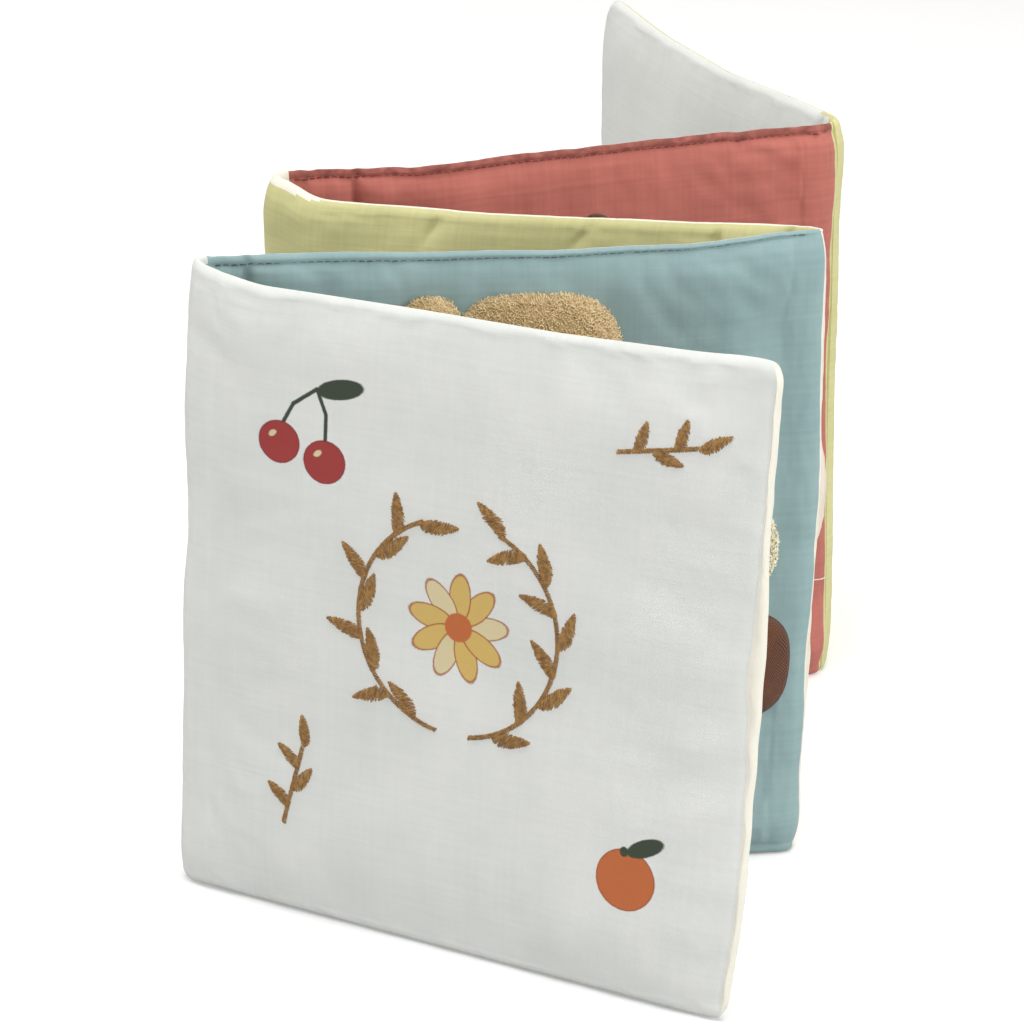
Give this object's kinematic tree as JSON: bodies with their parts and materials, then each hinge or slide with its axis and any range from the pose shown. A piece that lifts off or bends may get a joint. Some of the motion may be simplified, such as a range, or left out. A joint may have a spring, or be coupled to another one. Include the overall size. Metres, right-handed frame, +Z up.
{
  "type": "cloth book",
  "caption": "Soft padded cloth book that folds like a concertina, with hinged covers and sewn-on plush and fabric pictures.",
  "frame": {"origin": "on the floor under the middle of the standing book's footprint", "axes": "+Z up, -Y towards the reader of the front cover, +X to that reader's right"},
  "size_m": [0.212, 0.505, 0.2],
  "materials": {
    "white_cotton": "fine plain weave",
    "blue_cotton": "fine plain weave with slubs",
    "green_cotton": "fine plain weave",
    "red_cotton": "fine plain weave",
    "tan_plush": "short pile plush",
    "cream_fleece": "curly fleece",
    "brown_twill": "coarse twill",
    "brown_felt": "felt",
    "pale_jersey": "soft jersey",
    "gold_thread": "satin embroidery thread",
    "printed_ink": "ink printed on cotton",
    "plain_thread": "sewing thread"
  },
  "bodies": {
    "pages": {"pages": "blue_cotton", "plush_head": "tan_plush", "plush_ear": "tan_plush", "fleece_tuft": "cream_fleece", "woven_patch": "brown_twill", "round_seed": "brown_felt", "pale_pad": "pale_jersey"},
    "front_spine": {"front_spine": "white_cotton"},
    "front_cover": {"front_cover": "white_cotton"},
    "back_spine": {"back_spine": "red_cotton"},
    "back_cover": {"back_cover": "green_cotton"}
  },
  "joints": [
    {"name": "front_spine_hinge", "type": "hinge", "parent": "pages", "child": "front_spine", "pos_m": [-0.10238, -0.1443, 0], "axis": [0, 0, -1], "range_deg": [-15, 70]},
    {"name": "front_cover_hinge", "type": "hinge", "parent": "front_spine", "child": "front_cover", "pos_m": [-0.10419, -0.15515, 0], "axis": [0, 0, -1], "range_deg": [-15, 70]},
    {"name": "back_spine_hinge", "type": "hinge", "parent": "pages", "child": "back_spine", "pos_m": [0.10079, 0.06113, 0], "axis": [0, 0, -1], "range_deg": [-41.5, 46.5]},
    {"name": "back_cover_hinge", "type": "hinge", "parent": "back_spine", "child": "back_cover", "pos_m": [0.1054, 0.07112, 0], "axis": [0, 0, -1], "range_deg": [-41.5, 46.5]}
  ],
  "couplings": [
    {"joint": "front_cover_hinge", "follows": "front_spine_hinge", "ratio": 1},
    {"joint": "back_cover_hinge", "follows": "back_spine_hinge", "ratio": 1}
  ]
}
